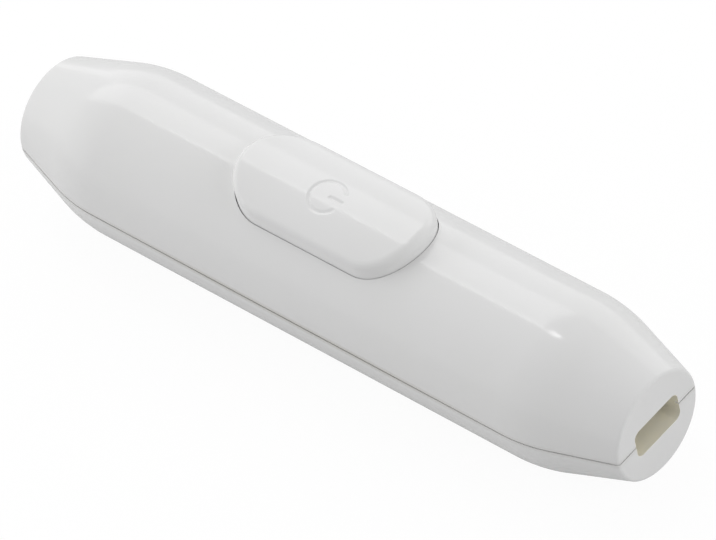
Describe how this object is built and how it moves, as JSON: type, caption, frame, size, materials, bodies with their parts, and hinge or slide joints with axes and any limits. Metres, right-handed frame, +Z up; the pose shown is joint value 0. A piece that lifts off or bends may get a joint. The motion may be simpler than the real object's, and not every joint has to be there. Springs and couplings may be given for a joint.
{
  "type": "inline cord switch",
  "caption": "Round white inline switch for a flat cord, with tapered ends, a cord slot at each end and a raised oblong latching push button.",
  "frame": {"origin": "under the middle of the housing, on the plane of its flat underside", "axes": "+X along the cord and the housing's length, +Z up through the button, +Y across"},
  "size_m": [0.0984, 0.0226, 0.0241],
  "materials": {
    "housing_plastic": "glossy white moulding",
    "button_plastic": "glossy white moulding",
    "slider_plastic": "natural satin moulding",
    "cradle_plastic": "black satin moulding",
    "clamp_plastic": "off-white satin moulding",
    "spring_steel": "drawn spring steel",
    "contact_bronze": "rolled bronze",
    "contact_silver": "silver contact",
    "brass": "stamped brass",
    "plated_steel": "zinc-plated steel"
  },
  "bodies": {
    "housing": {"upper_shell": "housing_plastic", "lower_shell": "housing_plastic", "return_spring": "spring_steel", "switch_cradle": "cradle_plastic", "cradle_screws": "plated_steel", "latch_leaf": "spring_steel", "live_in_strip": "brass", "live_out_strip": "brass", "neutral_link": "brass", "terminal_block_live_in": "brass", "terminal_block_live_out": "brass", "terminal_block_neutral_in": "brass", "terminal_block_neutral_out": "brass", "terminal_screws": "plated_steel", "cord_clamp_left": "clamp_plastic", "cord_clamp_right": "clamp_plastic", "clamp_screws": "plated_steel", "cover_screws": "plated_steel"},
    "button": {"button": "button_plastic", "plunger": "slider_plastic", "contact_bridge": "contact_bronze", "bridge_contacts": "contact_silver"},
    "latch": {"latch_wire": "spring_steel"}
  },
  "joints": [
    {"name": "button_press", "type": "slide", "parent": "housing", "child": "button", "axis": [0, 0, -1], "range_m": [0, 0.0022], "stiffness_N_per_m": 900, "springref_m": -0.0025, "deforming": ["return_spring"]},
    {"name": "latch_swing", "type": "hinge", "parent": "housing", "child": "latch", "pos_m": [0, -0.00505, 0.00499], "axis": [0, 1, 0], "range_deg": [0, 13.5]}
  ],
  "couplings": [
    {"joint": "latch_swing", "follows": "button_press", "rad_per_m": 102.31}
  ]
}
